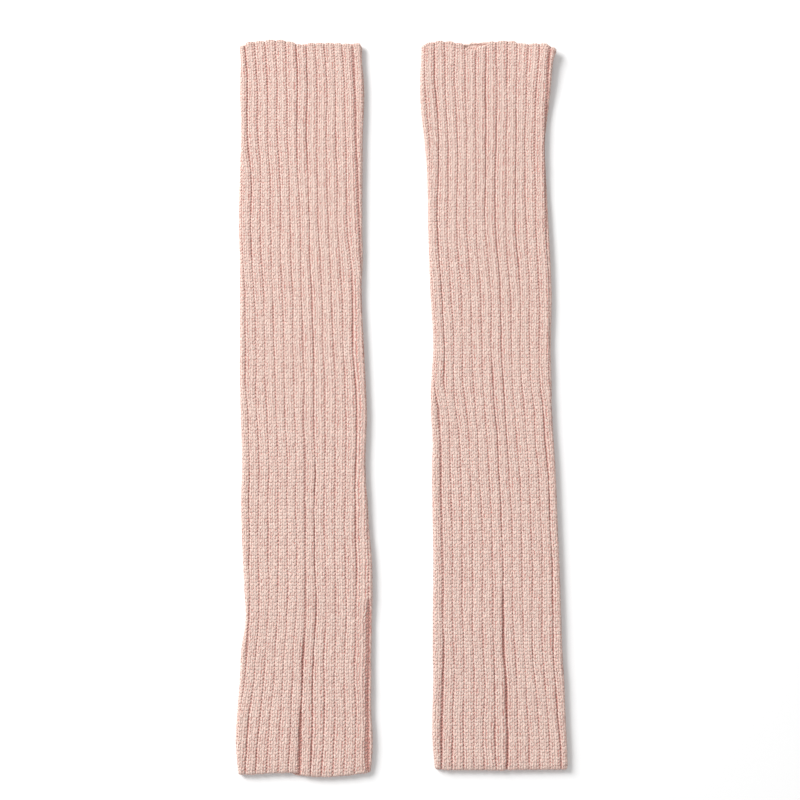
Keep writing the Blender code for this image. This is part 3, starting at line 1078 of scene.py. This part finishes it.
def knit_legs(tube, ribs, sizes, seed):
    """The legs of the knit stitches on some ribs."""
    ups = row_ups(tube, HEM_LIP + FIRST_ROW, tube.length - TOP_LIP - LAST_ROW)
    pitch = np.interp(ups, GAUGE_UPS, GAUGE_ROWS)
    count = len(ups)
    # Shade painted on the stitches towards the top rim
    edge = RIM_PAINTED_SHADE * ease((ups - tube.length + TOP_LIP + RIM_BAND) / RIM_BAND)
    runs = []
    for rib in ribs:
        place, left, right = rib_span(tube, rib, ups)
        body = 1.0 - left - right
        for index, (low, high) in enumerate(KNIT_LEGS):
            own_seed = seed + RIB_SEEDS * (rib + RIBS) + index
            slip = strays(own_seed, count, LEG_SLIP)
            lean = strays(own_seed + DRAW_STEP, count, LEG_LEAN)
            middle_up = ups + strays(own_seed + 2 * DRAW_STEP, count, LEG_RISE)
            low_place = place + left + low * body + slip - lean
            high_place = place + left + high * body + slip + lean
            outer = index in (0, 3)
            beside = place if index < 2 else place + 1
            # Painted crease shade on the outer legs beside a groove
            flank_painted_shade = FLANK_PAINTED_SHADE * outer * crease_share(tube, beside, ups)
            runs.append((
                spot(tube, low_place, middle_up - LEG_REACH * pitch, STITCH_SINK - LEG_PROUD),
                spot(tube, high_place, middle_up + LEG_REACH * pitch, STITCH_SINK + LEG_UNDER),
                face_direction(tube, 0.5 * (low_place + high_place), ups, STITCH_SINK),
                body * RIB_PITCH / PLAIN_BODY * pitch / GAUGE_ROWS[0],
                1.0 - TOP_FLATTER * ups / tube.length,
                np.maximum(flank_painted_shade, edge),
            ))
    return finish_legs(
        runs, seed, sizes.leg_width, sizes.leg_height, LEG_SPREADS, sizes.leg_overlap
    )


def purl_legs(tube, grooves, sizes, seed):
    """The purl bumps at the bottom of some grooves, two slanting columns a groove."""
    ups = row_ups(tube, PURL_START, tube.length - PURL_END)
    reach = PURL_REACH * np.interp(ups, GAUGE_UPS, GAUGE_ROWS)
    sink = STITCH_SINK - LEG_PROUD
    alike = np.ones(len(ups))
    runs = []
    for groove in grooves:
        half = 0.5 * trough_width(tube, float(groove), ups) / RIB_PITCH
        # Painted crease shade on the purl bumps
        deep = crease_share(tube, float(groove), ups)
        for side in (-1.0, 1.0):
            own_seed = seed + GROOVE_SEEDS * (groove + RIBS) + int(side)
            middle_up = ups + strays(own_seed, len(ups), PURL_RISE)
            inner = groove + side * PURL_INNER
            outer = groove + side * (half + PURL_OUTER)
            runs.append((
                spot(tube, np.minimum(inner, outer), middle_up - reach, sink),
                spot(tube, np.maximum(inner, outer), middle_up + reach, sink),
                face_direction(tube, groove + side * PURL_FACE * half, ups, STITCH_SINK),
                alike,
                alike,
                deep,
            ))
    return finish_legs(
        runs, seed, sizes.purl_width, PURL_HEIGHT * MM, PURL_SPREADS, PURL_OVERLAP
    )


def edge_legs(tube, rows, edge, lip, seed):
    """The yarn laid along one edge of a tube: the bound-off rim or the cast-on hem."""
    onward = 1.0 if edge > 0.5 * tube.length else -1.0
    ribs = SEAM_START + np.arange(RIBS)[:, None]
    runs = []
    for index, row in enumerate(rows):
        step = 1.0 / row.columns
        if row.columns == len(KNIT_LEGS):
            middles = np.mean(KNIT_LEGS, axis=1)
            leans = onward * np.tile(LEG_SIDES, RIBS)
        else:
            middles = step * (np.arange(row.columns) + 0.5 * (index % 2))
            leans = np.ones(RIBS * row.columns)
        places = (ribs + middles[None, :]).ravel()
        count = len(places)
        own_seed = seed + index
        places = places + step * strays(own_seed + DRAW_STEP, count, EDGE_STRAY)
        rise = strays(own_seed + 2 * DRAW_STEP, count, EDGE_STRAY)
        near_up = edge + onward * (row.near + rise) * lip
        far_up = edge + onward * (row.far + rise) * lip
        unevenness = uneven(own_seed + 3 * DRAW_STEP, count, EDGE_LEAN)
        half = 0.5 * row.lean * leans * step * unevenness
        runs.append((
            spot(tube, places - half, near_up, row.sink),
            spot(tube, places + half, far_up, row.sink),
            face_direction(tube, places, 0.5 * (near_up + far_up), row.sink),
            np.full(count, row.width),
            np.full(count, row.height),
            np.full(count, row.deep),
        ))
    return finish_legs(runs, seed, MM, MM, EDGE_SPREADS, EDGE_OVERLAP)


def inside_legs(tube, seed):
    """The backs of the stitches inside the back panel, where a low front rim shows them."""
    ups = row_ups(tube, tube.length - INSIDE_REACH, tube.length - TOP_LIP - INSIDE_END)
    left = np.arange(SEAM_START, FRONT_START - INSIDE_MARGIN, INSIDE_STEP)
    right = np.arange(FRONT_END + INSIDE_MARGIN, SEAM_START + RIBS, INSIDE_STEP)
    place, up = np.meshgrid(np.concatenate([left, right]), ups)
    count = place.size
    place = place + strays(seed, count, INSIDE_SLIP).reshape(place.shape)
    up = up + strays(seed + 1, count, INSIDE_RISE).reshape(up.shape)
    start = spot(tube, place - INSIDE_HALF, up)
    end = spot(tube, place + INSIDE_HALF, up)
    lift = corner_lift(tube, cut_at(tube, up), start[..., 0] / MM - tube.axis_x, up)
    start[..., 2] = (BACK_WALL + lift) * MM
    end[..., 2] = start[..., 2]
    out = np.tile((0.0, 0.0, 1.0), (count, 1))
    alike = np.ones(count)
    runs = [(start.reshape(-1, 3), end.reshape(-1, 3), out, alike, alike, np.zeros(count))]
    width = INSIDE_WIDTH * MM
    height = INSIDE_HEIGHT * MM
    return finish_legs(runs, seed + 2, width, height, INSIDE_SPREADS, INSIDE_OVERLAP)


def first_seed(sizes, tube, kind):
    """The first seed that one kind of a tube's pieces draws from."""
    return sizes.seed + tube.seed * TUBE_SEEDS + kind


pieces = {tube.name: [] for tube in TUBES}
walls = {}


def add_piece(tube, label, shape, legs):
    """Lay one kind of yarn on a tube, and keep it with the tube's pieces."""
    yarn = material_named("knit_yarn")
    pieces[tube.name].append(lay_yarn(tube.name + "_" + label, shape, yarn, legs))


class LEGWARMER_OT_walls(Operator):
    """Lay the knitted walls of both tubes."""

    bl_idname = "leg_warmer.walls"
    bl_label = "Knitted Walls"

    def execute(self, context):
        for tube in TUBES:
            walls[tube.name] = wall_of(tube)
        return {"FINISHED"}


class LEGWARMER_OT_knit_stitches(Operator):
    """Knit the stitches along every rib."""

    bl_idname = "leg_warmer.knit_stitches"
    bl_label = "Knit Stitches"

    def execute(self, context):
        sizes = context.scene.leg_warmer_knit
        # Shade is painted on the feet of the legs, where they tuck under their neighbours
        fine = spindle("fine_leg", LEG_RINGS, sides=4, base=0.85)
        plain = spindle("plain_leg", PLAIN_RINGS, sides=4, base=0.7)
        groups = (
            ("front_left_stitches", LEFT_FRONT_RIBS, fine),
            ("front_right_stitches", RIGHT_FRONT_RIBS, fine),
            ("under_stitches", UNDER_RIBS, plain),
        )
        for tube in TUBES:
            for index, (label, ribs, shape) in enumerate(groups):
                legs = knit_legs(tube, ribs, sizes, first_seed(sizes, tube, index * GROUP_SEEDS))
                add_piece(tube, label, shape, legs)
        return {"FINISHED"}


class LEGWARMER_OT_purl_stitches(Operator):
    """Fill the bottoms of the grooves with purl stitches."""

    bl_idname = "leg_warmer.purl_stitches"
    bl_label = "Purl Stitches"

    def execute(self, context):
        sizes = context.scene.leg_warmer_knit
        # Shade is painted on the purl bumps, most at their feet
        shape = spindle("purl_bump", PLAIN_RINGS, sides=4, base=1.0, crest=0.4)
        for tube in TUBES:
            legs = purl_legs(tube, PURL_GROOVES, sizes, first_seed(sizes, tube, PURL_SEED))
            add_piece(tube, "purl_stitches", shape, legs)
        return {"FINISHED"}


class LEGWARMER_OT_rims(Operator):
    """Bind off the top rim of each tube, and cast on its hem."""

    bl_idname = "leg_warmer.rims"
    bl_label = "Rims and Hems"

    def execute(self, context):
        sizes = context.scene.leg_warmer_knit
        # Shade is painted on the feet of the rim loops and of the inside bumps
        loop = spindle("rim_loop", LOOP_RINGS, sides=5, base=0.5)
        bump = spindle("inside_bump", PLAIN_RINGS, sides=4, base=0.8, crest=0.3)
        for tube in TUBES:
            rim_seed = first_seed(sizes, tube, RIM_SEED)
            hem_seed = first_seed(sizes, tube, HEM_SEED)
            rim = edge_legs(tube, BOUND_OFF_ROWS, tube.length - TOP_LIP, TOP_LIP, rim_seed)
            hem = edge_legs(tube, CAST_ON_ROWS, HEM_LIP, HEM_LIP, hem_seed)
            inside = inside_legs(tube, first_seed(sizes, tube, INSIDE_SEED))
            add_piece(tube, "bound_off_rim", loop, rim)
            add_piece(tube, "cast_on_hem", loop, hem)
            add_piece(tube, "inside_stitches", bump, inside)
        return {"FINISHED"}


class LEGWARMER_OT_assemble(Operator):
    """Tie every piece to the frame and hide the solids that the pieces replace."""

    bl_idname = "leg_warmer.assemble"
    bl_label = "Assemble"

    def execute(self, context):
        for tube in TUBES:
            wall = walls[tube.name]
            cut = cut_at(tube, np.array([0.5 * tube.length]))
            for piece in [wall] + pieces[tube.name]:
                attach(piece, BODY)
            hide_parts(tube.name)
        return {"FINISHED"}


class LEGWARMER_OT_stage(Operator):
    """Set out the white surface, the soft light and the camera."""

    bl_idname = "leg_warmer.stage"
    bl_label = "Stage"

    def execute(self, context):
        studio = context.scene.leg_warmer_studio
        half = SURFACE_HALF
        corners = np.array([(-half, -half, 0), (half, -half, 0), (half, half, 0), (-half, half, 0)])
        floor = new_object("white_surface", mesh_of("white_surface", corners, [(0, 1, 2, 3)]))
        white = bpy.data.materials.new("white_surface")
        white.use_nodes = True
        shader = white.node_tree.nodes["Principled BSDF"]
        shader.inputs["Base Color"].default_value = SURFACE_COLOUR
        shader.inputs["Roughness"].default_value = 0.9
        floor.data.materials.append(white)

        world = bpy.data.worlds.new("soft_room")
        world.use_nodes = True
        back = world.node_tree.nodes["Background"]
        back.inputs["Color"].default_value = (1.0, 1.0, 1.0, 1.0)
        back.inputs["Strength"].default_value = studio.fill
        context.scene.world = world
        context.scene.view_settings.view_transform = "Standard"

        key = bpy.data.lights.new("key_softbox", "AREA")
        key.shape = "SQUARE"
        key.size = KEY_SIZE
        key.energy = studio.key_power
        lamp = bpy.data.objects.new("key_softbox", key)
        lamp.location = Vector(KEY_DIRECTION) * KEY_DISTANCE
        lamp.rotation_euler = (-lamp.location).to_track_quat("-Z", "Y").to_euler()
        context.scene.collection.objects.link(lamp)

        lens = bpy.data.cameras.new("camera")
        lens.lens = LENS
        lens.sensor_width = SENSOR
        camera = bpy.data.objects.new("camera", lens)
        height = studio.view_width * LENS / SENSOR
        camera.location = (VIEW_MIDDLE_X, VIEW_MIDDLE_Y, height)
        context.scene.collection.objects.link(camera)
        context.scene.camera = camera
        return {"FINISHED"}


class LEGWARMER_PT_panel(Panel):
    """Lists the steps that build the pair."""

    bl_label = "Leg Warmers"
    bl_idname = "LEGWARMER_PT_panel"
    bl_space_type = "VIEW_3D"
    bl_region_type = "UI"
    bl_category = "Leg Warmers"

    def draw(self, context):
        layout = self.layout
        scene = context.scene
        for group in (scene.leg_warmer_knit, scene.leg_warmer_yarn, scene.leg_warmer_studio):
            box = layout.box()
            for name in group.__annotations__:
                box.prop(group, name)
        for step in STEPS:
            layout.operator(step.bl_idname)


STEPS = (
    LEGWARMER_OT_walls,
    LEGWARMER_OT_knit_stitches,
    LEGWARMER_OT_purl_stitches,
    LEGWARMER_OT_rims,
    LEGWARMER_OT_assemble,
    LEGWARMER_OT_stage,
)
CLASSES = (KnitSizes, YarnLooks, StudioSizes) + STEPS + (LEGWARMER_PT_panel,)


def register():
    for item in CLASSES:
        bpy.utils.register_class(item)
    bpy.types.Scene.leg_warmer_knit = PointerProperty(type=KnitSizes)
    bpy.types.Scene.leg_warmer_yarn = PointerProperty(type=YarnLooks)
    bpy.types.Scene.leg_warmer_studio = PointerProperty(type=StudioSizes)


def unregister():
    del bpy.types.Scene.leg_warmer_knit
    del bpy.types.Scene.leg_warmer_yarn
    del bpy.types.Scene.leg_warmer_studio
    for item in reversed(CLASSES):
        bpy.utils.unregister_class(item)


def main():
    register()
    bpy.ops.leg_warmer.walls()
    bpy.ops.leg_warmer.knit_stitches()
    bpy.ops.leg_warmer.purl_stitches()
    bpy.ops.leg_warmer.rims()
    bpy.ops.leg_warmer.assemble()
    bpy.ops.leg_warmer.stage()


if __name__ == "__main__":
    main()
